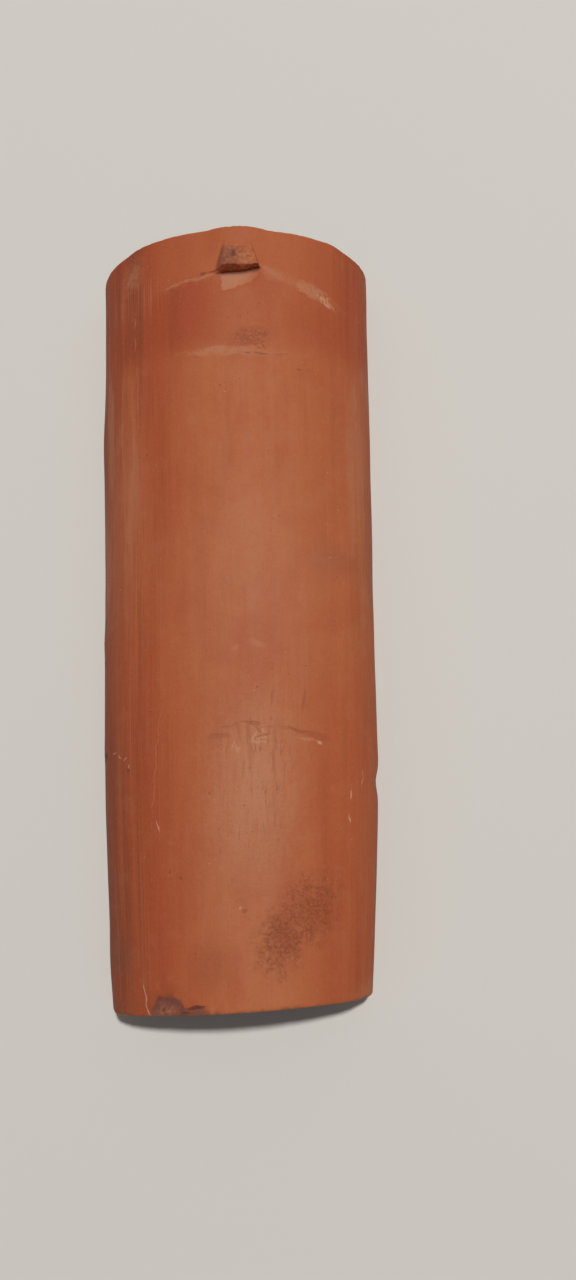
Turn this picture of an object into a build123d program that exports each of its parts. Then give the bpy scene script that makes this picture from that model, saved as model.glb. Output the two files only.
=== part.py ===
from build123d import *
from math import asin, cos, degrees, hypot, radians, sin, sqrt, tan
import os

# Barrel-shaped clay roof tile with a hanging nib, fired in one piece.
# It lies hollow side down on its two long edges.
# X runs across the tile, Y along it towards the wide end with the nib, Z up.
# All sizes are in millimetres.

# Plan
length = 460.0              # along the middle, from cut end to cut end
wide_end_width = 176.0
narrow_end_width = 145.0
pinch = 11.5                # how far the narrow end is squeezed below the straight taper, both sides together
pinch_share = 0.4           # the squeeze takes this share of the length, from the narrow end
narrow_cut_angle = 2.3      # the narrow end is cut this many degrees out of square

# Section: straight legs, two shoulder arcs and one crown arc
wide_end_height = 74.0
narrow_end_height = 64.0
leg_height = 15.0
shoulder_share = 0.78       # shoulder radius as a share of the arch's rise above the legs
wall_thickness = 12.0
arris_radius = 1.6          # worn rounding of the two cut ends

# Nib: clay pushed up from the crown, with a square seating face towards the narrow end
nib_offset = 7.0            # the nib sits this far off the centre line
nib_seat_to_rim = 29.0      # from the seating face to the rim of the wide end
nib_height = 6.5
nib_foot_width = 27.5
nib_crest_width = 20.5
nib_crest_shift = 1.5       # the crest lies this far right of the middle of the foot
nib_corner_radius = 2.2
nib_edge_radius = 1.2
ramp_tip_to_rim = 4.0       # the sloping back of the nib runs out this far from the rim
ramp_tip_width = 8.0

# Low swell of the rim behind the nib
swell_width = 37.0
swell_height = 3.0
swell_length = 24.0

# Shallow hollow left in front of the seating face
scoop_length = 11.0
scoop_depth = 1.0
scoop_to_seat = 0.5

# The wall is lofted through this many sections
section_count = 17


def along(narrow_value, wide_value, y):
    """A size that changes evenly from the narrow end to the wide end."""
    return narrow_value + (wide_value - narrow_value) * y / length


def half_width(y):
    """Half the outside width at y, measured from the narrow end."""
    squeeze = max(0.0, 1 - y / (pinch_share * length))
    return (along(narrow_end_width + pinch, wide_end_width, y) - pinch * squeeze**2) / 2


def height(y):
    return along(narrow_end_height, wide_end_height, y)


def shoulder_radius(y):
    return shoulder_share * (height(y) - leg_height)


def crown_radius(y):
    """Radius of the crown arc that touches both shoulder arcs and the top."""
    rise = height(y) - leg_height
    radius = shoulder_radius(y)
    reach = half_width(y) - radius
    return (reach**2 + rise**2 - radius**2) / (2 * (rise - radius))


def arch_side(y, inset):
    """Points of one side of the arch: leg foot, leg top, mid shoulder, shoulder end, crown.
    The legs run on below the floor, to be cut off level later.
    An inset of 0 gives the outer face, and the wall thickness gives the inner one."""
    shoulder_x = half_width(y) - shoulder_radius(y)
    radius = shoulder_radius(y) - inset
    centre_gap = leg_height - (height(y) - crown_radius(y))
    end_angle = asin(centre_gap / hypot(shoulder_x, centre_gap))
    mid_angle = end_angle / 2
    return [
        (shoulder_x + radius, -wall_thickness),
        (shoulder_x + radius, leg_height),
        (shoulder_x + radius * cos(mid_angle), leg_height + radius * sin(mid_angle)),
        (shoulder_x + radius * cos(end_angle), leg_height + radius * sin(end_angle)),
        (0, height(y) - inset),
    ]


def across(y):
    """The upright plane at y whose own X runs across the tile and whose own Y points up."""
    return Plane(origin=(0, y, 0), x_dir=(1, 0, 0), z_dir=(0, -1, 0))


def wall_section(y):
    outer = arch_side(y, 0)
    inner = arch_side(y, wall_thickness)
    outer_left = [(-x, z) for x, z in outer]
    inner_left = [(-x, z) for x, z in inner]
    edges = [
        Line(outer_left[0], outer_left[1]),
        ThreePointArc(*outer_left[1:4]),
        ThreePointArc(outer_left[3], outer[4], outer[3]),
        ThreePointArc(outer[3], outer[2], outer[1]),
        Line(outer[1], outer[0]),
        Line(outer[0], inner[0]),
        Line(inner[0], inner[1]),
        ThreePointArc(*inner[1:4]),
        ThreePointArc(inner[3], inner[4], inner_left[3]),
        ThreePointArc(inner_left[3], inner_left[2], inner_left[1]),
        Line(inner_left[1], inner_left[0]),
        Line(inner_left[0], outer_left[0]),
    ]
    return across(y) * make_face(edges)


def wall():
    """The tapered arch wall, with its feet cut level and the narrow end cut at its slight angle."""
    start = -2 * narrow_end_width * tan(radians(narrow_cut_angle))
    step = (length - start) / (section_count - 1)
    blank = loft([wall_section(start + step * i) for i in range(section_count)], ruled=True)
    size = 2 * length
    below_feet = Pos(0, 0, -size / 2) * Box(size, size, size)
    past_narrow_end = Rot(0, 0, narrow_cut_angle) * Pos(0, -size / 2, 0) * Box(size, size, size)
    return blank - below_feet - past_narrow_end


def nib_section(to_rim, width, rise):
    """An upright block with leaning sides and rounded top corners, rooted inside the wall.
    The width is measured where the block leaves the crown. The left side leans more than the right."""
    crown = height(length - to_rim)
    depth = wall_thickness / 2
    narrowing = (nib_foot_width - nib_crest_width) / 2
    left_lean = (narrowing + nib_crest_shift) / nib_height
    right_lean = (narrowing - nib_crest_shift) / nib_height
    root_left = (-width / 2 - left_lean * depth, crown - depth)
    root_right = (width / 2 + right_lean * depth, crown - depth)
    top_left = (-width / 2 + left_lean * rise, crown + rise)
    top_right = (width / 2 - right_lean * rise, crown + rise)
    block = make_face(Polyline(root_left, top_left, top_right, root_right, close=True))
    rounded = fillet(block.vertices().group_by(Axis.Y)[-1], nib_corner_radius)
    return across(length - to_rim) * rounded


def nib():
    """The nib: a block that slopes down to the rim from a square seating face with a worn edge."""
    seat = nib_section(nib_seat_to_rim, nib_foot_width, nib_height)
    tip = nib_section(ramp_tip_to_rim, ramp_tip_width, 0)
    body = loft([seat, tip])
    seat_edges = body.faces().sort_by(Axis.Y)[0].edges().sort_by(Axis.Z)[1:]
    return fillet(seat_edges, nib_edge_radius)


def swell_section(to_rim, width, rise):
    """The part of a disc above the middle of the wall. The disc crosses the crown arc where the
    swell is to end on both sides, and tops it by the rise."""
    y = length - to_rim
    foot_x = width / 2
    foot_drop = rise + crown_radius(y) - sqrt(crown_radius(y) ** 2 - foot_x**2)
    radius = (foot_x**2 + foot_drop**2) / (2 * foot_drop)
    root_drop = rise + wall_thickness / 2
    root_x = sqrt(radius**2 - (radius - root_drop) ** 2)
    top, root = height(y) + rise, height(y) + rise - root_drop
    arch = ThreePointArc((-root_x, root), (0, top), (root_x, root))
    return across(y) * make_face([arch, Line((root_x, root), (-root_x, root))])


def rim_swell():
    """The low mound behind the nib, highest at the rim. Its far end dips under the crown."""
    rim = swell_section(0, swell_width, swell_height)
    end = swell_section(swell_length, swell_width, -swell_height / 10)
    return loft([rim, end])


def scoop():
    """A shallow trough lying across the tile, dug by an arc that dips into the crown."""
    near_y = length - nib_seat_to_rim - scoop_to_seat
    middle_y, far_y = near_y - scoop_length / 2, near_y - scoop_length
    crown_z = height(near_y)
    dip = ThreePointArc((near_y, crown_z), (middle_y, crown_z - scoop_depth), (far_y, crown_z))
    lid = Polyline((far_y, crown_z), (far_y, crown_z + 1), (near_y, crown_z + 1), (near_y, crown_z))
    return extrude(Plane.YZ * make_face([dip, lid]), nib_foot_width, both=True)


def moved_off_centre(shape):
    """Turned about the axis of the crown arc, so the shape lies off the centre line."""
    seat_y = length - nib_seat_to_rim
    crown_axis = Axis((0, 0, height(seat_y) - crown_radius(seat_y)), (0, 1, 0))
    return shape.rotate(crown_axis, degrees(nib_offset / crown_radius(seat_y)))


def roof_tile():
    raised = moved_off_centre(nib() + rim_swell())
    tile = wall() + raised - moved_off_centre(scoop())
    end_faces = tile.faces().sort_by(Axis.Y)
    tile = fillet(end_faces[0].edges() + end_faces[-1].edges(), arris_radius)
    box = tile.bounding_box()
    return Pos(-box.center().X, -box.center().Y, -box.min.Z) * tile


os.makedirs("parts", exist_ok=True)
export_step(roof_tile(), "parts/roof_tile.step")
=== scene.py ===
import math
from types import SimpleNamespace

import bpy
import numpy as np
from bpy.props import FloatProperty, FloatVectorProperty, PointerProperty
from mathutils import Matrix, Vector


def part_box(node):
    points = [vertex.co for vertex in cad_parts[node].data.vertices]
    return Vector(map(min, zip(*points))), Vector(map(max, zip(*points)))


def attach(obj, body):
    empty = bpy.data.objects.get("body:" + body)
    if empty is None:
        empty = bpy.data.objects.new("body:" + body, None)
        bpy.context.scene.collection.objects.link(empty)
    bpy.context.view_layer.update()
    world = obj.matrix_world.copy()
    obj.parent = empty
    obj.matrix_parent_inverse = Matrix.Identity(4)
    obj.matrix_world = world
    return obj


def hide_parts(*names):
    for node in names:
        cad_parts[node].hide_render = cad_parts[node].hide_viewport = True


bl_info = {
    "name": "Barrel Roof Tile",
    "version": (1, 0, 0),
    "blender": (4, 5, 0),
    "location": "3D View > Sidebar > Roof Tile",
    "description": "A fired clay barrel roof tile with a hanging nib, and a plain studio stage",
    "category": "Add Mesh",
}

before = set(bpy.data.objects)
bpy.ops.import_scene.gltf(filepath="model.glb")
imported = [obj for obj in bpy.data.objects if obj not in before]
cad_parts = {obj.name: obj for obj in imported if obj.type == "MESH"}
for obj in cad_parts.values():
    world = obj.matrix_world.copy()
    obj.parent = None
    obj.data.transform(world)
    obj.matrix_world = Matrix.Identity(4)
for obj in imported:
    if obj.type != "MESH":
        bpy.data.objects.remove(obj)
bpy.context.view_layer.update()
CAD_LOW, CAD_HIGH = (np.array([float(v) for v in corner]) * 1000 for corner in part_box("roof_tile"))


# Properties

def distance(label, text, millimetres):
    """A length property in metres whose default is given in millimetres."""
    return FloatProperty(
        name=label, description=text, default=millimetres / 1000, unit="LENGTH", precision=4)


def factor(label, text, value, low=0.0, high=1.0):
    """A plain share or strength."""
    return FloatProperty(
        name=label, description=text, default=value, min=low, max=high, subtype="FACTOR")


def colour(label, text, red, green, blue):
    """A linear colour property."""
    return FloatVectorProperty(
        name=label, description=text, default=(red, green, blue), min=0, max=1, subtype="COLOR")


def position(label, text, x, y, z):
    """A place in metres."""
    return FloatVectorProperty(
        name=label, description=text, default=(x, y, z), subtype="TRANSLATION", unit="LENGTH")


class TileShape(bpy.types.PropertyGroup):
    """Sizes of the tile."""
    length: distance("Length", "Along the middle, from cut end to cut end", 460)
    wide_end_width: distance("Wide end width", "Outside width of the wide end", 176)
    narrow_end_width: distance("Narrow end width", "Outside width of the narrow end", 145)
    pinch: distance("Pinch", "How far the narrow end is squeezed below the straight taper", 11.5)
    pinch_share: factor("Pinch share", "Share of the length that the squeeze takes", 0.4, 0.05)
    narrow_cut_angle: FloatProperty(
        name="Narrow cut angle", description="How far the narrow end is cut out of square",
        default=math.radians(2.3), subtype="ANGLE")
    wide_end_height: distance("Wide end height", "Height of the crown at the wide end", 74)
    narrow_end_height: distance("Narrow end height", "Height of the crown at the narrow end", 64)
    leg_height: distance("Leg height", "Height of the straight foot of each side", 15)
    shoulder_share: factor(
        "Shoulder share", "Shoulder radius as a share of the rise above the legs", 0.78, 0.3, 0.95)
    wall_thickness: distance("Wall thickness", "Thickness of the clay", 12)
    foot_arris: distance("Foot arris", "Rounding of the cut long edges", 0.5)
    end_arris: distance("End arris", "Worn rounding of the two ends", 1.3)


class NibShape(bpy.types.PropertyGroup):
    """Sizes of the nib, the swollen rim behind it and the scoop in front of it."""
    offset: distance("Offset", "How far the nib sits off the centre line", 5.9)
    seat_to_rim: distance("Seat to rim", "From the seating face to the rim of the wide end", 29)
    height: distance("Height", "Height of the seating face above the crown, at its higher side", 6.4)
    foot_width: distance("Foot width", "Width at the crown, with the clay slumped at its left", 29.5)
    crest_width: distance("Crest width", "Width at the top", 20.5)
    crest_shift: distance("Crest shift", "How far the crest lies right of the middle of the foot", 2.4)
    tip_to_rim: distance("Tip to rim", "Where the sloping back runs out", 6)
    tip_width: distance("Tip width", "Width where the sloping back runs out", 17)
    tip_shift: distance("Tip shift", "How far the narrow tip lies left of the middle of the foot", 1.5)
    face_lean: distance("Face lean", "How far the seating face leans back, at its right", 1.2)
    face_slump: distance("Face slump", "How much further it leans back at its left", 1.7)
    swell_width: distance("Swell width", "Width of the swollen rim", 37)
    swell_height: distance("Swell height", "Height of the swollen rim", 2.9)
    swell_length: distance("Swell length", "How far the swollen rim reaches along the tile", 24)
    scoop_depth: distance("Scoop depth", "Depth of the dip in front of the seating face", 1.0)
    scoop_length: distance("Scoop length", "Length of the dip in front of the seating face", 10.8)


class ClayLook(bpy.types.PropertyGroup):
    """Colours and finish of the fired clay."""
    # Tan also stands for painted sheen on the crown and painted light on the right flank.
    tan: colour("Tan", "Pale clay of the rubbed crown", 0.408, 0.128, 0.051)
    orange: colour("Orange", "Main colour of the fired clay", 0.378, 0.094, 0.035)
    # Red also darkens the nib's seating face, partly as painted shade.
    red: colour("Red", "Redder streaks", 0.326, 0.065, 0.0255)
    # Brown also paints shade on the left flank and, with red, on the nib's seating face.
    brown: colour("Brown", "Darker burnt streaks", 0.205, 0.050, 0.023)
    # Bloom also paints the highlight on the right corner of the narrow end.
    bloom: colour("Bloom", "Pale pinkish film of salts", 0.425, 0.170, 0.090)
    # Lime also paints the highlight on the wrinkles by the fold line.
    lime: colour("Lime", "Whitish scratches and lime specks", 0.540, 0.300, 0.190)
    # Ash also paints shade along the front edge of the nib's crest.
    ash: colour("Ash", "Purple-grey kiln marks", 0.170, 0.062, 0.045)
    # Soot also paints shade in the crease at the nib's foot, in the crest pits and where the left edge
    # steps in.
    soot: colour("Soot", "Darkest specks and cracks", 0.070, 0.020, 0.012)
    roughness: factor("Roughness", "Roughness of the plain clay", 0.60)
    gloss: factor("Gloss", "Strength of the reflections", 0.12)
    relief: factor("Relief", "Strength of the fine relief", 1.0)


class StageSet(bpy.types.PropertyGroup):
    """Floor, lamp, room light and camera."""
    floor_colour: colour("Floor colour", "Colour of the plain floor", 0.60, 0.585, 0.555)
    floor_size: distance("Floor size", "Width and length of the floor", 9000)
    key_power: FloatProperty(
        name="Key power", description="Power of the lamp", default=317, min=0, unit="POWER")
    key_colour: colour("Key colour", "Colour of the lamp", 1.0, 0.975, 0.94)
    key_place: position("Key place", "Where the lamp hangs", 0.76, 1.35, 6.00)
    key_size: distance("Key size", "Width of the lamp", 420)
    fill_strength: factor("Fill strength", "Light of the room round the stage", 0.19)
    backdrop: factor("Backdrop", "Brightness of the room as seen, where 1 is white", 0.62)
    lens: FloatProperty(
        name="Lens", description="Focal length on a 36 mm sensor", default=27.03, min=5, unit="CAMERA")
    camera_place: position("Camera place", "Where the camera is", 0.04606, -0.16574, 0.58801)
    camera_turn: FloatVectorProperty(
        name="Camera turn", description="Turn of the camera about X, Y and Z", subtype="EULER",
        default=[math.radians(angle) for angle in (14.33, 1.97, -1.33)], unit="ROTATION")


def in_millimetres(group):
    """The group's values as plain attributes, with its lengths in millimetres."""
    values = SimpleNamespace()
    for key in type(group).__annotations__:
        scale = 1000 if group.bl_rna.properties[key].unit == "LENGTH" else 1
        setattr(values, key, getattr(group, key) * scale)
    return values


# Shape of the tile, in millimetres, with y counted from the narrow end

def smooth(x):
    """The S-curve 3x^2 - 2x^3 of x held between 0 and 1."""
    x = np.clip(x, 0, 1)
    return x * x * (3 - 2 * x)


def waves(a, b, length_a, length_b, count, seed):
    """A sum of sine waves over the two coordinates, each with its own phase and a wavelength that is
    the given one times 0.6 to 1.8. The sum is scaled to lie mostly between -1 and 1."""
    rng = np.random.default_rng(seed)
    total = np.zeros(np.broadcast(a, b).shape)
    for _ in range(count):
        stretch_a, stretch_b = np.exp(rng.uniform(-0.5, 0.6, 2))
        turn, phase = rng.uniform(0, 2 * math.pi, 2)
        total += np.sin(2 * math.pi * (a * math.cos(turn) / (length_a * stretch_a)
                                       + b * math.sin(turn) / (length_b * stretch_b)) + phase)
    return total / math.sqrt(count)


def bells(a, b, spots):
    """A sum of bell curves, one for each spot: height * exp(-((a - a0) / wide)^2 - ((b - b0) / long)^2).
    A spot is (a0, b0, wide, long, height)."""
    return sum(high * np.exp(-((a - at_a) / wide) ** 2 - ((b - at_b) / long) ** 2)
               for at_a, at_b, wide, long, high in spots)


class Arch:
    """The cross-section of the tile at each y: two straight legs, two shoulder arcs and a crown arc
    that touches both. Widths and heights change evenly along the tile, and the squeeze of the narrow
    end is pinch * (1 - y / pinch length)^2."""

    def __init__(self, shape, y):
        far = y / shape.length
        squeeze = np.clip(1 - far / shape.pinch_share, 0, None) ** 2 * shape.pinch
        straight = shape.narrow_end_width + shape.pinch
        self.half = (straight + (shape.wide_end_width - straight) * far - squeeze) / 2
        self.height = shape.narrow_end_height + (shape.wide_end_height - shape.narrow_end_height) * far
        self.leg = shape.leg_height
        rise = self.height - self.leg
        self.shoulder = shape.shoulder_share * rise
        self.reach = self.half - self.shoulder
        self.crown = (self.reach**2 + rise**2 - self.shoulder**2) / (2 * (rise - self.shoulder))
        self.turn = np.arcsin(self.reach / (self.crown - self.shoulder))


def bends(shape):
    """The columns at which the shoulder arc begins, the leg begins and the foot is cut. Columns are
    counted from the crown, in millimetres along the outer face of the wide end."""
    wide = Arch(shape, np.array(shape.length))
    shoulder_column = float(wide.crown * wide.turn)
    leg_column = shoulder_column + float(wide.shoulder * (math.pi / 2 - wide.turn))
    return shoulder_column, leg_column, leg_column + shape.leg_height


def wall_place(shape, column, depth, y):
    """Place and outward direction of a point at this column and depth under the outer face.
    The column gives the angle on the crown arc, then on the shoulder arc, then the height on the leg.
    The point lies at (radius - depth) from the centre of its arc."""
    shoulder_column, leg_column, _ = bends(shape)
    arch = Arch(shape, y)
    side = np.where(column < 0, -1.0, 1.0)
    along = np.abs(column)
    crown_share = np.clip(along / shoulder_column, 0, 1)
    shoulder_share = np.clip((along - shoulder_column) / (leg_column - shoulder_column), 0, 1)
    down_leg = np.clip(along - leg_column, 0, None)
    angle = crown_share * arch.turn + shoulder_share * (math.pi / 2 - arch.turn)
    on_crown = along <= shoulder_column
    radius = np.where(on_crown, arch.crown, arch.shoulder) - depth
    centre_x = np.where(on_crown, 0.0, arch.reach)
    centre_z = np.where(on_crown, arch.height - arch.crown, arch.leg)
    x = centre_x + radius * np.sin(angle)
    z = centre_z + radius * np.cos(angle) - down_leg
    place = np.stack([side * x, y + np.zeros_like(x), z], axis=-1)
    outward = np.stack([side * np.sin(angle), np.zeros_like(x), np.cos(angle)], axis=-1)
    return place, outward


def spaced(low, high, spacing, closer):
    """Places from low to high whose spacing is the given one, or less where closer asks for it.
    Each entry of closer is (middle, half width, spacing). The places divide the integral of
    1 / spacing into equal parts."""
    samples, fade = 6000, 14
    fine = np.linspace(low, high, samples)
    step = np.full_like(fine, spacing)
    for middle, half_width, near in closer:
        away = smooth((np.abs(fine - middle) - half_width) / fade)
        step = np.minimum(step, near + (spacing - near) * away)
    total = np.concatenate([[0], np.cumsum(0.5 * (1 / step[1:] + 1 / step[:-1]) * np.diff(fine))])
    parts = int(math.ceil(total[-1]))
    return np.interp(np.linspace(0, total[-1], parts + 1), total, fine)


def rounded_box(depth, end, foot, thickness, length, radius):
    """Rounds the edges of the bent slab. Each point is held to the slab shrunk by the radius, and then
    pushed out from there by the radius, towards where it was."""
    low = np.minimum(radius, thickness / 2)
    held = (np.clip(depth, low, thickness - low), np.clip(end, low, length - low), np.maximum(foot, low))
    gap = [here - inner for here, inner in zip((depth, end, foot), held)]
    size = np.maximum(np.sqrt(sum(g * g for g in gap)), 1e-9)
    push = np.where(size > 1e-6, low / size, 0)
    return tuple(inner + g * push for inner, g in zip(held, gap))


def seat_lean(nib, share):
    """How far the seating face leans back at this share of the half width: more towards its left."""
    return nib.face_lean + nib.face_slump * smooth((1.0 - share) / 0.9)


def seat_line(nib, share):
    """Distance of the middle of the seating face from the rim at this share of the half width. It is a
    shallow parabola plus half of what the face leans more towards its left."""
    bow = 0.15 + 0.95 * share + 0.75 * share**2
    return nib.seat_to_rim - bow + (seat_lean(nib, share) - nib.face_lean) / 2


def nib_warp(nib, column, to_rim):
    """Crowds the columns and rows of the grid onto the sides and the seating face of the nib.
    Columns inside it keep their share of its width, which shrinks towards the rim. Rows in a band round
    the seat are squeezed into its lean, and the rows within reach of the band are stretched to make
    room. Also gives the share of the way over the band, from the rim's side."""
    band, reach = 4, 9
    across = column - nib.offset
    shrink = np.clip((nib.seat_to_rim - to_rim) / (nib.seat_to_rim - nib.tip_to_rim), 0, 1)
    narrower = shrink * (1 - nib.tip_width / nib.foot_width)
    narrower = narrower * smooth((nib.seat_to_rim + band - to_rim) / band)
    across = across * (1 - narrower * smooth((32 - np.abs(across)) / 18))

    share = across / (nib.foot_width / 2)
    seat = seat_line(nib, share)
    lean = seat_lean(nib, share) + 0.8 * smooth((-share - 0.45) / 0.5)
    start, stop = seat - lean / 2, seat + lean / 2
    low, high = nib.seat_to_rim - band, nib.seat_to_rim + band
    face = (to_rim - low) / (high - low)
    inside = start + face * (stop - start)
    before = low - reach + (to_rim - low + reach) / reach * (start - low + reach)
    after = stop + (to_rim - high) / reach * (high + reach - stop)
    warped = np.select(
        [to_rim < low - reach, to_rim < low, to_rim < high, to_rim < high + reach],
        [to_rim, before, inside, after], to_rim)
    here = smooth((21 - np.abs(across)) / 6)
    return nib.offset + across, to_rim + (warped - to_rim) * here, np.clip(face, 0, 1)


# Pits torn into the nib's crest, as spots across the nib and from the rim
CREST_PITS = ((-3.3, 20.3, 1.7, 1.2, 0.9), (6.6, 20.6, 1.0, 0.8, 0.6))


def nib_relief(nib, column, to_rim, face):
    """Height of the nib and the swollen rim above the crown, and the share of the nib alone.
    The nib is a ramp times an S-curve at each side, and the S-curve of the face share takes it down
    over the seating face. Its middle line strays left towards the tip. Its crest is a bell curve over
    the higher left part, made ragged by sine waves and pits. The swell is a parabola across that fades
    along the tile. The two are joined by the fourth root of the sum of their fourth powers."""
    from_middle = column - nib.offset
    ramp = np.clip((to_rim - nib.tip_to_rim) / (nib.seat_to_rim - nib.tip_to_rim), 0, 1)
    across = from_middle + nib.tip_shift * (1 - ramp)
    width = nib.tip_width + (nib.foot_width - nib.tip_width) * ramp
    slope = (nib.foot_width - nib.crest_width) / 2 + np.where(across < 0, nib.crest_shift, -nib.crest_shift)
    side = smooth((width / 2 - np.abs(across)) / (slope * (0.4 + 0.6 * ramp)))
    crest = 0.66 + 0.34 * np.exp(-((across + 5.2) / 6) ** 2)
    ragged = 0.26 * waves(across, to_rim, 5.2, 4.6, 9, 11) + 0.10 * waves(across, to_rim, 1.9, 1.7, 11, 12)
    torn = (ragged - bells(across, to_rim, CREST_PITS)) * ramp
    block = np.clip((nib.height * ramp * crest + torn) * side * (1 - smooth(face)), 0, None)
    fade = np.clip(1 - to_rim / nib.swell_length, 0, None)
    swell = np.clip(nib.swell_height * (1 - (2 * from_middle / nib.swell_width) ** 2) * fade, 0, None)
    return (block**4 + swell**4) ** 0.25, smooth((block - 0.55 * swell) / 1.6)


def scoop_reach(nib, share):
    """Length of the dip at this share of the half width, longer on the left than on the right."""
    return nib.scoop_length * (1 - 0.38 * np.clip(share, -1, 1))


def scoop_relief(nib, column, to_rim):
    """Depth of the dip in front of the seating face: a parabola along times an S-curve across."""
    share = (column - nib.offset) / (nib.foot_width / 2)
    half = scoop_reach(nib, share) / 2
    middle = seat_line(nib, share) + seat_lean(nib, share) / 2 + half
    dip = np.clip(1 - ((to_rim - middle) / half) ** 2, 0, None)
    return -nib.scoop_depth * dip * smooth((1.06 - np.abs(share)) / 0.25)


# Bumps and dents of the outline, as spots of column and distance from the narrow end
OUTLINE_BUMPS = (
    (-118, 209, 13, 9, 0.9), (-120, 236, 14, 12, 0.5), (-121, 143, 12, 7, 0.8),
    (-119, 160, 14, 14, 0.35), (-112, 24, 20, 20, 0.9), (-112, 344, 16, 26, 0.8),
    (112, 420, 14, 16, -0.2), (114, 345, 16, 30, 0.6), (114, 245, 16, 22, -0.5),
    (112, 105, 18, 95, 0.75), (118, 121, 14, 6, -1.6), (118, 134, 13, 8, 0.3))


def hand_relief(column, y):
    """Slow unevenness of the pressed clay as sums of sine waves, and the few bumps of its outline."""
    slow = 0.22 * waves(column, y, 70, 150, 7, 3) + 0.07 * waves(column, y, 17, 60, 8, 5)
    return slow + bells(column, y, OUTLINE_BUMPS)


def corner_cut(column):
    """How far the corners of the wide end fall short of a square cut, an S-curve of the column."""
    return 4.2 * smooth((-column - 54) / 34) + 2.8 * smooth((column - 64) / 18)


# Chips of the two ends, as (column, half width, depth), and the seed of each end's ragged part
NARROW_CHIPS = ((-45, 8, 1.0), (-25, 6, 0.5), (96, 9, 1.1), (38, 4, 0.7), (-122, 16, 2.6), (124, 12, 1.6))
WIDE_CHIPS = ((-70, 5, 0.8), (-103, 6, 0.7), (60, 5, 0.7), (88, 6, 0.9), (-20, 4, 0.4), (-126, 12, 1.4),
              (126, 12, 1.6))
NARROW_SEED, WIDE_SEED = 21, 22


def end_wear(shape, column, chips, seed):
    """Rounding radius round one end: a base value, a ragged part and a few chips as bell curves."""
    ragged = 0.45 * np.abs(waves(column, 0 * column, 8, 8, 8, seed))
    worn = sum(deep * np.exp(-((column - at) / wide) ** 2) for at, wide, deep in chips)
    return np.clip(shape.end_arris + ragged + worn, 0.3, shape.wall_thickness * 0.42)


def tile_points(shape, nib, column, depth, y):
    """Place of each point of the tile's skin, given its column, its depth under the outer face and its
    distance from the narrow end. Also marks the shares of the nib, its seating face, the crease at its
    foot and the dug clay before it, and the nearness to an arris."""
    length, thickness = shape.length, shape.wall_thickness
    _, leg_column, foot_column = bends(shape)
    outer_share = 1 - depth / thickness

    warp_column, warp_rim, face = nib_warp(nib, column, length - y)
    warp_width, warp_length, fade = 70, 80, 25
    near = smooth((warp_width - np.abs(column - nib.offset)) / fade)
    near = near * smooth((warp_length - (length - y)) / fade)
    column = column + (warp_column - column) * near
    to_rim = (length - y) + (warp_rim - (length - y)) * near
    y = length - to_rim

    foot = foot_column - np.abs(column)
    by_end = np.where(y < length / 2, end_wear(shape, column, NARROW_CHIPS, NARROW_SEED),
                      end_wear(shape, column, WIDE_CHIPS, WIDE_SEED))
    wear_length = 9
    nearness = smooth(1 - np.minimum(y, to_rim) / wear_length)
    foot_ragged = shape.foot_arris * (1 + 0.8 * np.abs(waves(y, 0 * y, 21, 21, 7, 31)))
    radius = foot_ragged + (by_end - foot_ragged) * nearness
    new_depth, new_y, new_foot = rounded_box(depth, y, foot, thickness, length, radius)
    column = np.where(np.abs(column) > leg_column, np.sign(column) * (foot_column - new_foot), column)

    place, outward = wall_place(shape, column, new_depth, new_y)
    raised, on_nib = nib_relief(nib, column, to_rim, face)
    relief = (raised + scoop_relief(nib, column, to_rim)) * outer_share
    away_from_foot = smooth(foot / 6)
    uneven = hand_relief(column, y) * outer_share
    inside = 0.35 * waves(column, y, 60, 120, 7, 41) * (1 - outer_share)
    place = place + outward * (relief + (uneven - inside) * (0.35 + 0.65 * away_from_foot))[..., None]

    slant_length, corner_length = 130, 40
    slant = np.tan(shape.narrow_cut_angle) * place[..., 0]
    place[..., 1] += slant * np.clip(1 - new_y / slant_length, 0, None)
    place[..., 1] -= corner_cut(column) * np.clip(1 - (length - new_y) / corner_length, 0, None)

    arris = np.exp(-np.minimum(np.minimum(y, to_rim), np.where(foot < 20, foot + 1.0, 99)) / 1.3)
    side = (column - nib.offset) / (nib.foot_width / 2)
    share = np.abs(side)
    seat_face = smooth((0.5 - np.abs(face - 0.5)) / 0.2) * smooth((1.08 - share) / 0.2)
    from_foot = to_rim - seat_line(nib, side) - seat_lean(nib, side) / 2
    crease = np.exp(-((from_foot - 0.3) / 0.8) ** 2) * smooth((1.04 - share) / 0.2)
    dug = smooth((scoop_reach(nib, side) - from_foot + 1.0) / 4.6) * smooth(from_foot / 0.8)
    dug = dug * smooth((side + 0.88) / 0.36) * smooth((1.05 - side) / 0.5)
    marks = {"nib": on_nib, "seat_face": seat_face * (outer_share > 0.99), "crease": crease, "dug": dug,
             "arris": arris}
    return place, marks


# The four corners of each cell of a grid, taken in this order round the cell
LOW, HIGH = slice(None, -1), slice(1, None)
CORNERS = ((LOW, LOW), (HIGH, LOW), (HIGH, HIGH), (LOW, HIGH))


def cells(numbers, u, v, order):
    """The cells of a grid of vertex numbers as faces, and their corners' places in the lay."""
    u, v = np.broadcast_to(u, numbers.shape), np.broadcast_to(v, numbers.shape)
    corners = [CORNERS[index] for index in order]
    faces = np.stack([numbers[corner] for corner in corners], axis=-1)
    lay = np.stack([np.stack([u[corner], v[corner]], -1) for corner in corners], axis=2)
    return faces.reshape(-1, 4), lay.reshape(-1, 4, 2)


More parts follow.
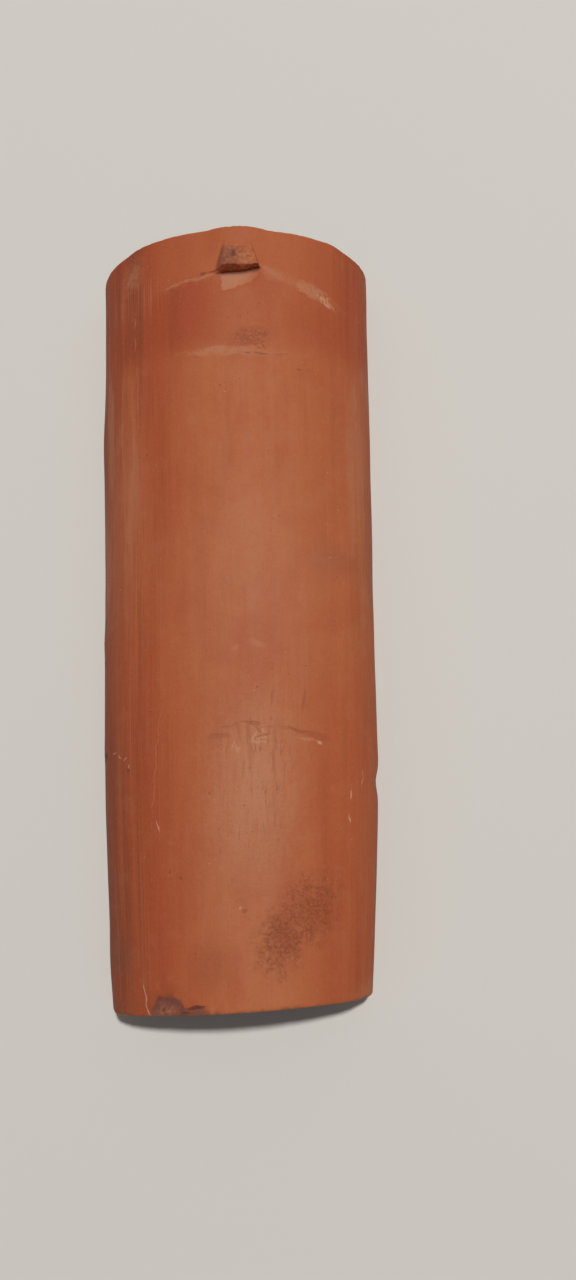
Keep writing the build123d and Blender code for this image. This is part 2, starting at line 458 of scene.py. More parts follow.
def tile_surface(shape, nib):
    """The whole skin of the tile as one closed grid: a bent slab whose ring of columns runs over the
    outer face, one foot, the inner face and the other foot, for each row along the tile, and whose two
    ends are grids of columns by depths that share the ring's first and last rows."""
    foot_column = bends(shape)[-1]
    column_spacing, row_spacing = 2.35, 2.9
    sides = nib.foot_width / 2 - 1.2
    columns = spaced(-foot_column, foot_column, column_spacing, (
        (nib.offset, 17, 0.95), (nib.offset - sides, 1.6, 0.5), (nib.offset + sides, 1.6, 0.5),
        (-foot_column, 1.5, 0.7), (foot_column, 1.5, 0.7)))
    seat = shape.length - nib.seat_to_rim
    rows = spaced(0, shape.length, row_spacing, (
        (0, 4.5, 0.75), (shape.length, 4.5, 0.75), (seat + 14, 22, 1.0), (seat, 4.5, 0.45)))
    depths = np.array([0, 0.045, 0.11, 0.2, 0.33, 0.5, 0.67, 0.8, 0.89, 0.955, 1]) * shape.wall_thickness

    last, deep = len(columns) - 1, len(depths) - 1
    ring_column = np.concatenate([
        columns, np.full(deep - 1, columns[-1]), columns[::-1], np.full(deep - 1, columns[0])])
    ring_depth = np.concatenate([
        np.zeros(last + 1), depths[1:-1], np.full(last + 1, depths[-1]), depths[-2:0:-1]])
    ring_step = np.hypot(np.diff(ring_column), np.diff(ring_depth))
    around = np.concatenate([[0], np.cumsum(ring_step)]) - foot_column
    around = np.append(around, around[-1] + depths[1])

    skin = (len(rows), len(ring_column))
    end_grid = np.meshgrid(columns[1:-1], depths[1:-1], indexing="ij")
    end_column, end_depth = (values.ravel() for values in end_grid)
    every_column = np.concatenate([np.tile(ring_column, skin[0]), end_column, end_column])
    every_depth = np.concatenate([np.tile(ring_depth, skin[0]), end_depth, end_depth])
    every_y = np.concatenate([np.repeat(rows, skin[1]), np.repeat([0, shape.length], end_column.size)])
    points, marks = tile_points(shape, nib, every_column, every_depth, every_y)
    marks["inside"] = every_depth / shape.wall_thickness
    marks["column"] = every_column
    marks["row"] = every_y
    marks["cut_face"] = smooth((np.abs(every_column) - foot_column + 0.6) / 0.5)

    numbers = np.arange(skin[0] * skin[1]).reshape(skin)
    parts = [cells(np.hstack([numbers, numbers[:, :1]]), around, rows[:, None], (0, 3, 2, 1))]
    for wide in (False, True):
        row = numbers[-1] if wide else numbers[0]
        first = numbers.size + (end_column.size if wide else 0)
        cap = np.empty((last + 1, deep + 1), dtype=np.int64)
        cap[:, 0] = row[:last + 1]
        cap[:, deep] = row[last + deep:2 * last + deep + 1][::-1]
        cap[last, 1:deep] = row[last + 1:last + deep]
        cap[0, 1:deep] = row[2 * last + deep + 1:][::-1]
        cap[1:last, 1:deep] = first + np.arange(end_column.size).reshape(last - 1, deep - 1)
        beyond = shape.length + depths if wide else -depths
        parts.append(cells(cap, columns[:, None], beyond, (0, 1, 2, 3) if wide else (3, 2, 1, 0)))
    faces, lays = (np.concatenate(part) for part in zip(*parts))
    return points, faces, lays, marks


# How far the tile's size may be from the CAD model's, and the gaps that are left to its box
SIZE_TOLERANCE, RIM_GAP, SIDE_GAP = 3, 0.01, 0.004


def fitted(points):
    """Moves the tile from its own y to the frame's and holds it just inside the CAD box."""
    off_size = np.abs(np.ptp(points, axis=0) - (CAD_HIGH - CAD_LOW))
    if off_size.max() > SIZE_TOLERANCE:
        raise RuntimeError("the tile's sizes no longer match the CAD model")
    points = points + np.array([0, CAD_HIGH[1] - RIM_GAP - points[:, 1].max(), 0])
    return np.clip(points, CAD_LOW + SIDE_GAP, CAD_HIGH - SIDE_GAP)


def add_object(name, data):
    """A new object at the origin, linked into the scene."""
    item = bpy.data.objects.new(name, data)
    bpy.context.scene.collection.objects.link(item)
    return item


def add_grid(name, points, faces, lays, marks):
    """A smooth-shaded mesh object in metres with one attribute for each mark and two UV maps: lay, and
    wavy_lay, which strays from it by sums of sine waves of about a millimetre."""
    mesh = bpy.data.meshes.new(name)
    mesh.vertices.add(len(points))
    mesh.vertices.foreach_set("co", (points / 1000).astype(np.float32).ravel())
    mesh.loops.add(faces.size)
    mesh.loops.foreach_set("vertex_index", faces.astype(np.int32).ravel())
    mesh.polygons.add(len(faces))
    mesh.polygons.foreach_set("loop_start", np.arange(0, faces.size, 4, dtype=np.int32))
    mesh.polygons.foreach_set("loop_total", np.full(len(faces), 4, dtype=np.int32))
    mesh.update(calc_edges=True)
    mesh.polygons.foreach_set("use_smooth", np.ones(len(faces), dtype=bool))
    stray = [0.8 * waves(lays[..., 0], lays[..., 1], 11, 11, 9, seed) for seed in (61, 62)]
    for key, places in (("lay", lays), ("wavy_lay", lays + np.stack(stray, axis=-1))):
        mesh.uv_layers.new(name=key).data.foreach_set("uv", (places / 1000).astype(np.float32).ravel())
    for key, values in marks.items():
        mark = mesh.attributes.new(key, "FLOAT", "POINT")
        mark.data.foreach_set("value", values.astype(np.float32))
    if mesh.validate():
        raise RuntimeError(f"the grid of {name} has faces that Blender had to repair")
    return add_object(name, mesh)


# Materials

Socket = bpy.types.NodeSocket


class NodeWriter:
    """Adds nodes to a tree. Inputs are numbers, colours or sockets of earlier nodes."""

    def __init__(self, tree):
        self.tree = tree
        tree.nodes.clear()

    def add(self, kind, inputs=(), **settings):
        node = self.tree.nodes.new(kind)
        for key, value in settings.items():
            setattr(node, key, value)
        for key, value in dict(inputs).items():
            socket = node.inputs[key]
            if isinstance(value, Socket):
                self.tree.links.new(value, socket)
            elif socket.type == "RGBA":
                socket.default_value = (*value, 1)
            else:
                socket.default_value = value
        return node

    def math(self, operation, a, b=0, c=0):
        return self.add("ShaderNodeMath", {0: a, 1: b, 2: c}, operation=operation).outputs[0]

    def step(self, value, low, high, to_low=0, to_high=1):
        """An S-curve from one level to another between two values."""
        return self.add("ShaderNodeMapRange", {
            "Value": value, "From Min": low, "From Max": high, "To Min": to_low, "To Max": to_high},
            interpolation_type="SMOOTHSTEP").outputs["Result"]

    def noise(self, place, detail, rough):
        return self.add("ShaderNodeTexNoise", {
            "Vector": place, "Scale": 1, "Detail": detail, "Roughness": rough}).outputs["Fac"]

    def mix(self, share, a, b):
        return self.add("ShaderNodeMix", {"Factor": share, 6: a, 7: b}, data_type="RGBA").outputs[2]

    def joined(self, operation, values):
        """The values joined one after the other by the operation."""
        result = values[0]
        for value in values[1:]:
            result = self.math(operation, result, value)
        return result

    def union(self, *values):
        return self.joined("MAXIMUM", values)

    def total(self, *values):
        return self.joined("ADD", values)

    def product(self, *values):
        """The values multiplied, with the plain numbers among them as one factor."""
        sockets = [value for value in values if isinstance(value, Socket)]
        number = math.prod(value for value in values if not isinstance(value, Socket))
        result = self.joined("MULTIPLY", sockets)
        return result if number == 1 else self.math("MULTIPLY", result, number)

    def over(self, base, colour, *shares):
        """The base covered by a colour, with the product of the shares as its opacity."""
        return self.mix(self.product(*shares), base, colour)

    def rest(self, value):
        """What is left of 1."""
        return self.math("SUBTRACT", 1, value)

    def apart(self, value, middle):
        """Distance of the value from a middle one."""
        return self.math("ABSOLUTE", self.math("SUBTRACT", value, middle))


class ClayNodes(NodeWriter):
    """Nodes that know the tile's lay, and the clay's colour and relief so far. Sizes and places are
    given in millimetres: the column u and the distance v from the narrow end."""

    def __init__(self, tree, look):
        super().__init__(tree)
        self.look = look
        self.lay = self.add("ShaderNodeUVMap", uv_map="lay").outputs[0]
        self.wavy_lay = self.add("ShaderNodeUVMap", uv_map="wavy_lay").outputs[0]
        self.spot = self.add("ShaderNodeTexCoord").outputs["Object"]
        self.u, self.v = self.mark("column"), self.mark("row")
        self.inside = self.step(self.mark("inside"), 0.4, 0.9)
        self.outside = self.rest(self.inside)
        self.dust = self.grain(4.2, 31, 4, 0.65)
        self.grit = self.grain(1.7, 0, 3, 0.6)
        self.cloud = self.grain(11, 5, 3)
        self.broad = self.streaks(21, 230, 1.3)
        self.medium = self.streaks(5, 170, 7.7)
        self.fine = self.streaks(1.25, 95, 4.1, 2)
        self.relief = []

    def mark(self, name):
        return self.add(
            "ShaderNodeAttribute", attribute_name=name, attribute_type="GEOMETRY").outputs["Fac"]

    def streaks(self, width, length, shift, detail=3, rough=0.55):
        """Noise drawn out along the tile: one cell is width across and length along."""
        place = self.add("ShaderNodeMapping", {
            "Vector": self.lay, "Location": (0, 0, shift), "Scale": (1000 / width, 1000 / length, 1)})
        return self.noise(place.outputs[0], detail, rough)

    def grain(self, size, shift, detail=2, rough=0.5):
        """Even noise on the object's own place, with cells of this size."""
        place = self.add("ShaderNodeMapping", {
            "Vector": self.spot, "Location": [shift] * 3, "Scale": [1000 / size] * 3})
        return self.noise(place.outputs[0], detail, rough)

    def patch(self, u, v, half_u, half_v, angle=0, soft=0.5, share=1, ragged=None, amount=0.5):
        """An oval round this column and row, turned by the angle, that reaches the given share. The
        ragged noise moves its border in and out by up to the amount, as a share of the half sizes."""
        reach = 1 + soft + 0.8 * amount
        local = self.add("ShaderNodeMapping", {
            "Vector": self.wavy_lay, "Location": (u / 1000, v / 1000, 0),
            "Rotation": (0, 0, math.radians(angle)),
            "Scale": (half_u * reach / 1000, half_v * reach / 1000, 1)}, vector_type="TEXTURE")
        near = self.add("ShaderNodeTexGradient", {"Vector": local.outputs[0]}, gradient_type="SPHERICAL")
        near = self.math("MULTIPLY_ADD", ragged or self.dust, 2 * amount / reach, near.outputs["Fac"])
        middle = 1 + (amount - 1) / reach
        return self.step(near, middle - soft / reach, middle + soft / reach, 0, share)

    def strokes(self, *lines):
        """Thin lines of uneven width that taper to their ends. A line is (u, v, angle, half length,
        half width), with its share after them where that is below 1."""
        return self.union(*(
            self.patch(u, v, half_length, half_width, angle, 0.4, *share or (1,), self.grit, 0.7)
            for u, v, angle, half_length, half_width, *share in lines))

    def cover(self, colour, *shares):
        """Lays a colour of the look over the clay so far, with the product of the shares as its opacity."""
        self.base = self.over(self.base, getattr(self.look, colour), *shares)

    def carve(self, millimetres, *shares):
        """Adds to the relief: a height, or a depth if it is negative, times the shares."""
        self.relief.append(self.product(*shares, millimetres))


def ground_colour(n):
    """Orange clay, tan on the crown (partly pale clay, partly painted sheen) and on the right flank
    (painted light from the right), browner towards the sides, on the left partly painted shade.
    """
    n.base = n.mix(n.step(n.broad, 0.3, 0.72, 0.15, 1), n.look.red, n.look.orange)
    # Tan on the crown, a little right of the middle: partly pale clay, partly painted sheen.
    worn = n.step(n.streaks(24, 62, 2.6, 4, 0.6), 0.3, 0.62, 0.4, 1)
    n.crown = n.product(n.step(n.apart(n.u, 12), 68, 14), worn, n.outside)
    n.cover("tan", n.crown, 0.92)
    # Brown towards the left side and more at the lower left: partly streaky clay, partly painted shade of
    # the left flank.
    n.cover("brown", n.step(n.u, -57, -112), n.outside, n.step(n.medium, 0.25, 0.65, 0.95, 0.54))
    n.cover("brown", n.step(n.v, 185, 125), n.step(n.u, -42, -96), n.outside,
            n.step(n.medium, 0.25, 0.7, 0.8, 0.46))
    n.cover("red", n.step(n.v, 165, 125), n.step(n.u, -30, -52), n.step(n.u, -84, -60), n.outside, 0.45)
    n.cover("red", n.step(n.u, 84, 118), n.outside, n.step(n.medium, 0.3, 0.7, 0.35, 0.05))
    # Painted light: tan over the right flank at mid-length, brighter as if lit from the right.
    n.cover("tan", n.step(n.u, 22, 46), n.step(n.v, 130, 210), n.step(n.v, 405, 360), n.outside, 0.46)


def side_streaks(n):
    """Lengthwise streaks, strongest on the left."""
    sides = n.union(n.step(n.u, -34, -66, 0.2, 1), n.step(n.u, 42, 90, 0, 0.6))
    n.cover("brown", n.step(n.medium, 0.5, 0.32), sides, 0.42)
    n.cover("brown", n.step(n.fine, 0.47, 0.28), sides, 0.36)
    n.cover("bloom", n.step(n.fine, 0.56, 0.74), sides, 0.3)
    n.cover("orange", n.step(n.medium, 0.56, 0.72), sides, 0.3)
    n.carve(0.12, n.fine, sides)


def film_and_clouds(n):
    """A pale film of salts on both sides, and faint clouds of colour."""
    n.cover("bloom", n.step(n.streaks(9, 80, 15.5, 4, 0.6), 0.42, 0.66), n.step(n.apart(n.u, -84), 32, 10),
            n.outside, n.step(n.v, 200, 250, 0.12, 1), n.step(n.v, 455, 395, 0.3, 1), 0.58)
    n.cover("bloom", n.step(n.streaks(8, 70, 25.5, 4, 0.6), 0.46, 0.68), n.outside, 0.5,
            n.step(n.u, 70, 100), n.step(n.v, 190, 235, 0.2, 1))
    n.cover("bloom", n.patch(14, 222, 44, 54, 0, 0.9, 0.22))
    n.cover("bloom", n.patch(7, 72, 24, 44, 0, 0.9, 0.26))
    n.cover("bloom", n.patch(-82, 268, 22, 66, 0, 0.8, 0.26), n.step(n.medium, 0.28, 0.6, 0.5, 1))
    n.cover("ash", n.patch(68, 247, 20, 9, 0, 0.8, 0.18))
    n.cover("ash", n.patch(106, 262, 10, 40, 0, 0.8, 0.26))
    n.cover("bloom", n.step(n.cloud, 0.5, 0.75), 0.12)
    n.cover("red", n.step(n.cloud, 0.46, 0.25), 0.12)
    n.cover("red", n.step(n.grain(46, 11, 3), 0.46, 0.3), n.outside, 0.25)


def collar_colour(n):
    """The collar between the rim and a bowed line through the nib's foot, with redder, streaky clay
    below it. The line is v + 0.0034 (u - 6)^2 = 433.5 - 10 dust."""
    off_middle = n.apart(n.u, 6)
    bowed = n.math("MULTIPLY_ADD", n.math("MULTIPLY", off_middle, off_middle), 0.0034, n.v)
    bowed = n.math("MULTIPLY_ADD", n.dust, 10, bowed)
    collar = n.product(n.step(bowed, 428.5, 438.5), n.step(off_middle, 76, 34), n.outside)
    n.cover("orange", collar, 0.55)
    below = n.product(n.step(n.v, 370, 392), n.rest(collar), n.outside)
    n.cover("red", below, n.step(n.u, 10, -34, 0.35, 1))
    n.cover("red", below, n.step(n.u, 40, 74, 0, 0.3), n.step(n.v, 450, 430, 0.1, 1))
    n.cover("brown", below, n.step(n.medium, 0.56, 0.36), n.step(n.u, -16, -56), 0.55)
    n.cover("brown", below, n.step(n.fine, 0.54, 0.4), n.step(n.u, -40, -70), 0.4)
    n.cover("brown", below, n.step(n.medium, 0.56, 0.36), n.step(n.u, 50, 80), 0.22)
    n.cover("bloom", n.patch(-66, 441, 7, 9, -20, 0.95, 0.5), n.step(n.dust, 0.32, 0.62, 0.35, 1))
    n.cover("bloom", n.patch(-64, 422, 16, 14, 0, 0.8, 0.42), n.step(n.fine, 0.42, 0.66))
    n.cover("bloom", n.patch(87, 312, 8, 44, 0, 0.7, 0.45), n.step(n.medium, 0.3, 0.6, 0.4, 1))


def scraped_arc(n):
    """The arc scraped pale on both sides of the nib, the torn clay at its left foot and the clay dug
    out in front of it."""
    arc = n.strokes((-22.5, 426.2, 7.5, 17, 1.2, 0.6), (-12.5, 427.6, 3, 7, 1.6, 0.5))
    n.cover("bloom", arc, n.step(n.dust, 0.34, 0.56, 0.45, 1))
    torn = n.strokes((-15.3, 429.4, 10, 2, 1.3), (-10.2, 431, 30, 2, 1.3), (-12, 430, 20, 8, 0.7, 0.3))
    n.cover("brown", torn, 0.75)
    hatch = n.step(n.streaks(2, 3.2, 44, 3, 0.6), 0.36, 0.54, 0.35, 1)
    n.cover("bloom", n.patch(44, 424.2, 26, 3.4, -17, 0.7, 0.38, amount=0.7), hatch)
    n.cover("bloom", n.patch(54, 421.2, 10.5, 4.2, -16, 0.4, 0.7, amount=0.7), hatch)
    n.cover("lime", n.patch(64, 416.2, 7, 2.4, -34, 0.5, 0.4, amount=0.8), n.step(hatch, 0.7, 1))
    n.cover("bloom", n.patch(26, 430.2, 8, 4, -28, 0.7, 0.42))
    ragged_dug = n.math("MULTIPLY_ADD", n.math("SUBTRACT", n.dust, 0.5), 1.6, n.mark("dug"))
    n.cover("bloom", n.step(ragged_dug, 0.3, 0.75), n.step(n.u, 22, 4, 0.2, 0.95))
    n.carve(0.14, arc)
    n.carve(-0.4, torn)


def pale_band(n):
    """The pale band across the wide half, with its dark smudge and broken scratch."""
    n.cover("bloom", n.patch(3, 376.3, 30, 2.8, -1, 0.45, 0.75), n.step(n.u, 24, 0, 0.45, 1),
            n.step(n.dust, 0.32, 0.6, 0.3, 1))
    n.cover("brown", n.patch(13.5, 385.4, 11.5, 5.8, 8, 0.6, 0.56), n.step(n.grit, 0.64, 0.38, 0.25, 1))
    n.cover("brown", n.patch(20, 379.5, 4.5, 3, 0, 0.6, 0.6, n.grit), n.step(n.grit, 0.5, 0.38))
    scratch = n.strokes((17, 374.8, -1, 8, 0.7, 0.6), (32, 374.6, 1, 6, 0.5, 0.35))
    n.cover("soot", scratch, n.step(n.dust, 0.44, 0.54), 0.72)
    n.cover("brown", n.strokes((46, 366, 0, 4.5, 0.8, 0.5)), n.step(n.dust, 0.45, 0.55))


def fold_line(n):
    """The broken fold line across the narrow half, with wrinkles and clay rubbed pale below it."""
    furrows = n.streaks(3.2, 26, 33, 4, 0.6)
    rubbed = n.patch(13, 116, 22, 40, 0, 0.8)
    n.cover("bloom", rubbed, n.step(furrows, 0.3, 0.6, 0.35, 0.85))
    n.cover("bloom", n.patch(15, 124, 8, 20, 0, 0.8, 0.4))
    n.cover("brown", n.patch(14, 122, 26, 38, 0, 0.6, 0.46),
            n.step(n.streaks(2, 11, 33, 4, 0.65), 0.55, 0.68))
    wrinkles = n.strokes(
        (13, 143.5, 62, 3.4, 0.8), (16.5, 141.6, 8, 3, 0.7), (15, 139.6, -6, 4, 0.7),
        (18, 146, 80, 2.2, 0.6), (0.2, 139, 70, 3, 0.7), (3, 136, 110, 2.6, 0.7),
        (45, 141, -4, 6, 0.6, 0.7), (29.5, 137, 80, 2.4, 0.6, 0.7))
    # Painted highlight: pale lime lines along the ridges of the wrinkles by the fold.
    n.cover("lime", wrinkles, 0.3)
    folds = n.strokes(
        (-9.8, 143, 4, 6, 1.6, 0.5), (-1, 148.6, 8, 9, 0.8, 0.35), (11.5, 150.2, 0, 6.5, 0.9, 0.7),
        (15.6, 147, -55, 3.4, 0.7, 0.6), (17.5, 142.6, 16, 4.2, 0.6, 0.6), (41, 146.2, -12, 7.5, 0.9, 0.8),
        (52, 143.2, -9, 9, 1.8, 0.45), (27, 147.4, -4, 12, 0.8, 0.3), (9.8, 139.5, 91, 14, 1.2, 0.42),
        (25.8, 136, 88, 16, 1.1, 0.42), (3.8, 146, 90, 5, 1, 0.3), (44, 163, 80, 6, 1, 0.6),
        (24.5, 165, 90, 4, 0.8, 0.5))
    n.cover("brown", folds, 0.56)
    n.cover("lime", n.strokes((53.8, 140, -12, 1.8, 0.9, 0.66)))
    n.cover("bloom", n.patch(15, 195, 4.6, 1.8, -30, 0.6, 0.45))
    n.cover("bloom", n.patch(1.5, 192.5, 2.2, 1.4, 0, 0.6, 0.45))
    n.carve(-0.28, folds)
    n.carve(0.5, furrows, rubbed)


def kiln_marks(n):
    """The speckled brown stain and the ash marks of the narrow end."""
    speck = n.step(n.grain(1.35, 60, 3, 0.65), 0.52, 0.42)
    stain = n.union(n.patch(46.5, 49, 20, 15.5, 38, 0.55), n.patch(30, 34.5, 18.5, 14, 52, 0.6))
    n.cover("brown", stain, n.step(n.dust, 0.35, 0.62, 0.16, 0.44))
    n.cover("brown", n.patch(27, 37, 9, 6.5, 60, 0.7, 0.3))
    n.cover("brown", stain, speck, n.step(n.dust, 0.36, 0.6, 0.2, 1), 0.52)
    n.cover("soot", stain, speck, n.step(n.grain(2.6, 66), 0.52, 0.62), 0.15)
    n.carve(-0.1, speck, stain)

    n.cover("brown", n.patch(-44.5, 0, 15.5, 13, 0, 0.4, 0.35))
    ash = n.patch(-44.5, 0, 12.8, 10.4, 0, 0.12, amount=0.22)
    inner_ash = n.patch(-45.5, -1, 11, 9.2, 0, 0.25, amount=0.25)
    n.cover("ash", ash, n.step(n.dust, 0.3, 0.58, 0.6, 0.95))
    n.cover("soot", ash, n.rest(inner_ash), n.step(n.dust, 0.66, 0.36, 0.3, 1), 0.5)
    n.cover("soot", n.patch(-47, 5.6, 4.6, 2.8, 0, 0.6, 0.5), n.step(n.dust, 0.58, 0.44))
    n.cover("bloom", n.patch(-47, 1, 8, 4, 0, 0.6, 0.5), ash, n.step(n.grit, 0.36, 0.6))
    n.cover("ash", n.patch(-25.5, 0, 9, 4, 0, 0.2, 0.9, amount=0.3))
    n.cover("soot", n.patch(-31.5, 0.6, 3.2, 2.2, 0, 0.5, 0.6), n.step(n.v, 5, 1))
    n.cover("soot", n.strokes((-25.6, 4, 0, 6.6, 0.8, 0.75)))
    n.cover("brown", n.patch(-16, 24, 14, 11, 20, 0.7, 0.2))
    n.cover("ash", n.patch(-82, 30, 9, 8, 0, 0.7, 0.3))
    # Painted highlight: pale patch on the rounded right corner of the narrow end.
    n.cover("bloom", n.patch(104, 3, 20, 7, 6, 0.7, 0.45))
    n.cover("brown", n.step(n.v, 2.6, 0.4), n.step(n.streaks(9, 40, 96), 0.5, 0.6), n.outside, 0.5)


def edge_shadows_and_ticks(n):
    """Painted shadow in dark spots where the left edge steps in, pale ticks and runs, and lime and dark
    specks in clusters.
    """
    # Painted shadow: soot spots where the left edge steps in.
    edge_shadows = n.union(n.patch(-105, 138.6, 9, 2, 0, 0.5, 0.8), n.patch(-106, 194.5, 8, 2.6, 0, 0.5, 0.7),
                    n.patch(-107, 221, 7, 4, 0, 0.5, 0.5))
    n.cover("soot", edge_shadows)
    ticks = n.strokes(
        (-61.8, 11.3, 103, 6, 0.5), (-59.3, 2.5, 109, 3.2, 0.5), (-84.5, 139.4, 25, 2.2, 0.5, 0.6),
        (-79, 136.4, 125, 1.7, 0.5, 0.7), (-74.6, 134.9, 30, 1.9, 0.5, 0.6),
        (-70.8, 130.2, 100, 1.6, 0.5, 0.7), (75.6, 111.6, 84, 2.7, 0.7, 0.9), (75, 98.4, 96, 2, 0.7, 0.9),
        (85, 121, 90, 4.5, 0.5, 0.5), (3.6, 52.6, 40, 1, 0.7, 0.6), (-49, 96, 100, 3, 0.6),
        (64.5, 414, 130, 2.4, 0.7), (-50.3, 128, 83.5, 30, 0.4, 0.2))
    n.cover("lime", ticks, 0.7)
    runs = n.strokes((-64.5, 400, 90, 14, 0.8), (86, 352, 90, 20, 0.9), (-92, 395, 90, 26, 0.8))
    n.cover("bloom", n.step(n.streaks(3, 9, 87), 0.4, 0.6), 0.4, runs)
    cluster = n.step(n.grain(26, 200), 0.5, 0.62)
    n.lime_speck = n.product(n.step(n.grain(1.6, 90, 1), 0.74, 0.8), cluster, 0.5)
    n.cover("lime", n.lime_speck)
    dots = n.strokes(
        (-42.1, 73.3, 60, 1.2, 0.8, 0.35), (-34.7, 68.5, 0, 1, 0.7, 0.42), (-71.5, 128, 10, 1.4, 0.8, 0.7),
        (6, 50.8, 0, 1.4, 0.6, 0.4))
    dark_speck = n.union(n.product(n.step(n.grain(1.8, 120, 1), 0.26, 0.2), cluster, 0.45), dots)
    n.cover("brown", dark_speck)
    n.carve(-0.45, dark_speck)


def nib_clay(n):
    """Torn clay on the nib, purple on its left, painted shade along its crest's front edge and in its crest
    pits, its seating face darker, partly painted shade, and painted shade in the crease at its foot.
    """
    nib, seat_face = n.mark("nib"), n.mark("seat_face")
    chips = n.grain(2.4, 77, 3)
    n.cover("tan", nib, n.step(n.v, 452, 440, 0.1, 1), 0.7)
    torn_top = n.product(nib, n.step(seat_face, 0.8, 0.3), n.step(n.v, 450, 442, 0.1, 1))
    n.cover("ash", torn_top, n.step(n.u, 13, 1, 0.1, 1), n.step(n.dust, 0.3, 0.56, 0.62, 1), 0.7)
    # Painted shade: ash along the front edge of the nib's crest.
    n.cover("ash", nib, n.step(seat_face, 0.6, 0.2), n.step(n.v, 439, 433), 0.36)
    n.cover("brown", nib, n.step(chips, 0.48, 0.36), 0.45)
    n.cover("bloom", nib, n.step(chips, 0.52, 0.62), n.step(n.u, 0, 12, 0.25, 0.55))
    # Painted shade: soot in the two torn pits of the crest.
    n.cover("soot", nib, n.patch(3.4, 440.6, 2.4, 1.5, 0, 0.6, 0.55, n.grit))
    n.cover("soot", nib, n.patch(13.4, 440.2, 1.4, 0.9, 0, 0.6, 0.42, n.grit))
    # Red and brown on the seating face: darker clay, partly painted shade.
    n.cover("red", seat_face, n.step(n.dust, 0.3, 0.6, 0.55, 0.95))
    n.cover("brown", seat_face, n.step(chips, 0.52, 0.4), 0.45)
    # Painted shade: soot in the crease at the foot of the seating face.
    n.cover("soot", n.mark("crease"), n.step(n.u, -6.5, -3, 0.2, 0.8))
    n.carve(0.9, nib, chips)
    n.carve(0.8, seat_face, n.grain(1.6, 99, 4, 0.7))


def inner_face(n):
    """The hollow side: smoother and more even, with pale runs."""
    inner = n.mix(n.step(n.broad, 0.3, 0.7), n.look.orange, n.look.red)
    inner = n.over(inner, n.look.bloom, n.step(n.streaks(14, 60, 51, 4, 0.6), 0.54, 0.74), 0.4)
    inner = n.over(inner, n.look.brown, n.step(n.cloud, 0.42, 0.24), 0.3)
    inner = n.over(inner, n.look.lime, n.lime_speck)
    n.base = n.mix(n.inside, n.base, inner)


def cut_edges(n):
    """The cut long edges: grooved lengthwise, darker in the low lines of the grooves, with lime."""
    groove = n.streaks(1.5, 60, 63, 3, 0.6)
    edge = n.mix(n.step(groove, 0.56, 0.36), n.look.orange, n.look.brown)
    edge = n.over(edge, n.look.soot, n.step(groove, 0.42, 0.3), 0.8)
    edge = n.over(edge, n.look.lime, n.step(n.streaks(5, 22, 71, 4, 0.65), 0.57, 0.7), 0.6)
    n.cut_face = n.mark("cut_face")
    n.base = n.mix(n.cut_face, n.base, edge)
    n.carve(1.1, n.cut_face, groove)


def worn_clay(n):
    """Pale worn arrises, and the fine grain of the clay everywhere."""
    n.cover("tan", n.step(n.mark("arris"), 0.25, 0.8), n.step(n.dust, 0.28, 0.6, 0.35, 1), 0.4)
    n.cover("brown", n.step(n.grit, 0.5, 0.2), 0.16)
    n.cover("bloom", n.step(n.grit, 0.5, 0.8), 0.16)
    n.carve(0.14, n.medium)
    n.carve(0.12, n.grit)
    n.carve(0.16, n.dust)


CLAY_PARTS = (ground_colour, side_streaks, film_and_clouds, collar_colour, scraped_arc, pale_band,
              fold_line, kiln_marks, edge_shadows_and_ticks, nib_clay, inner_face, cut_edges, worn_clay)


def clay_material(look):
    """Unglazed red clay, laid on part by part over the ground colour, with fine relief as bump."""
    material = bpy.data.materials.new("fired_clay")
    material.use_nodes = True
    n = ClayNodes(material.node_tree, look)
    for part in CLAY_PARTS:
        part(n)
    rough = n.total(
        n.math("MULTIPLY_ADD", n.dust, 0.22, look.roughness - 0.2), n.product(n.medium, 0.18),
        n.product(n.crown, -0.06), n.product(n.cut_face, 0.25))
    one_millimetre = 0.001
    bump = n.add("ShaderNodeBump", {
        "Strength": look.relief, "Distance": one_millimetre, "Height": n.total(*n.relief)})
    shader = n.add("ShaderNodeBsdfPrincipled", {
        "Base Color": n.base, "Roughness": n.math("MINIMUM", rough, 0.95), "Normal": bump.outputs[0],
        "IOR": 1.46, "Specular IOR Level": look.gloss})
    n.add("ShaderNodeOutputMaterial", {"Surface": shader.outputs[0]})
    return material


def plain_material(name, shade):
    """One even matt colour."""
    material = bpy.data.materials.new(name)
    material.use_nodes = True
    n = NodeWriter(material.node_tree)
    shader = n.add("ShaderNodeBsdfPrincipled", {
        "Base Color": shade, "Roughness": 0.9, "Specular IOR Level": 0.2})
    n.add("ShaderNodeOutputMaterial", {"Surface": shader.outputs[0]})
    return material


# Operators

class TILE_OT_roof_tile(bpy.types.Operator):
    """Builds the fired clay tile with its nib as one closed surface"""
    bl_idname = "tile.roof_tile"
    bl_label = "Roof tile"

    def execute(self, context):
        shape, nib = in_millimetres(context.scene.tile_shape), in_millimetres(context.scene.nib_shape)
        points, faces, lays, marks = tile_surface(shape, nib)
        tile = add_grid("clay_tile", fitted(points), faces, lays, marks)
        tile.data.materials.append(clay_material(context.scene.clay_look))
        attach(tile, "root")
        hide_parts("roof_tile")
        return {"FINISHED"}


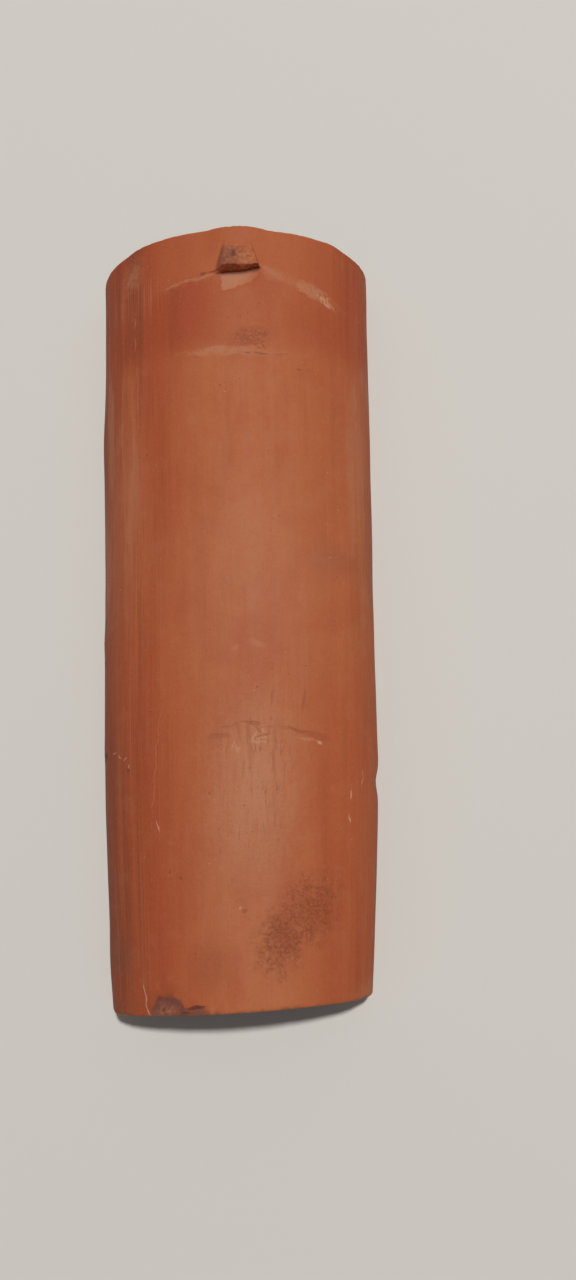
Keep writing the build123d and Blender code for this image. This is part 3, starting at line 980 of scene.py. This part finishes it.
class TILE_OT_stage(bpy.types.Operator):
    """Builds the plain floor, the soft lamp, the room light and the camera"""
    bl_idname = "tile.stage"
    bl_label = "Stage"

    def execute(self, context):
        stage, scene = context.scene.stage_set, context.scene
        if min(stage.camera_place[2], stage.key_place[2]) <= 0:
            raise RuntimeError("the camera and the lamp have to be above the floor")
        half = stage.floor_size / 2
        mesh = bpy.data.meshes.new("floor")
        corners = [(-half, -half, 0), (half, -half, 0), (half, half, 0), (-half, half, 0)]
        mesh.from_pydata(corners, [], [(0, 1, 2, 3)])
        floor = add_object("floor", mesh)
        mesh.materials.append(plain_material("floor_paint", stage.floor_colour))

        lamp = bpy.data.lights.new("key_lamp", "AREA")
        lamp.shape = "DISK"
        lamp.size = stage.key_size
        lamp.energy = stage.key_power
        lamp.color = stage.key_colour
        key = add_object("key_lamp", lamp)
        key.location = stage.key_place
        key.rotation_euler = (-Vector(stage.key_place)).to_track_quat("-Z", "Y").to_euler()

        world = bpy.data.worlds.new("room")
        world.use_nodes = True
        n = NodeWriter(world.node_tree)
        rays = n.add("ShaderNodeLightPath").outputs
        seen = n.union(rays["Is Camera Ray"], rays["Is Glossy Ray"], rays["Is Transmission Ray"])
        strength = n.step(seen, 0, 1, stage.fill_strength, stage.backdrop)
        room = n.add("ShaderNodeBackground", {"Color": (1, 1, 1), "Strength": strength})
        n.add("ShaderNodeOutputWorld", {"Surface": room.outputs[0]})
        scene.world = world

        lens = bpy.data.cameras.new("camera")
        lens.lens = stage.lens
        lens.sensor_width = 36
        lens.clip_start, lens.clip_end = 0.02, 50
        camera = add_object("camera", lens)
        camera.location = stage.camera_place
        camera.rotation_euler = stage.camera_turn
        scene.camera = camera
        scene.view_settings.view_transform = "Standard"
        return {"FINISHED"}


class TILE_PT_panel(bpy.types.Panel):
    """Lists the tile's sizes, its clay and the stage"""
    bl_idname = "TILE_PT_panel"
    bl_label = "Roof Tile"
    bl_space_type = "VIEW_3D"
    bl_region_type = "UI"
    bl_category = "Roof Tile"

    def draw(self, context):
        for operator, names in ((TILE_OT_roof_tile, ("tile_shape", "nib_shape", "clay_look")),
                                (TILE_OT_stage, ("stage_set",))):
            box = self.layout.box()
            box.operator(operator.bl_idname)
            for name in names:
                for key in GROUPS[name].__annotations__:
                    box.prop(getattr(context.scene, name), key)


CLASSES = (TileShape, NibShape, ClayLook, StageSet, TILE_OT_roof_tile, TILE_OT_stage, TILE_PT_panel)
GROUPS = {"tile_shape": TileShape, "nib_shape": NibShape, "clay_look": ClayLook, "stage_set": StageSet}


def register():
    for item in CLASSES:
        bpy.utils.register_class(item)
    for name, group in GROUPS.items():
        setattr(bpy.types.Scene, name, PointerProperty(type=group))


def unregister():
    for name in GROUPS:
        delattr(bpy.types.Scene, name)
    for item in reversed(CLASSES):
        bpy.utils.unregister_class(item)


def main():
    """Builds the tile and its stage."""
    register()
    bpy.ops.tile.roof_tile()
    bpy.ops.tile.stage()


if __name__ == "__main__":
    main()
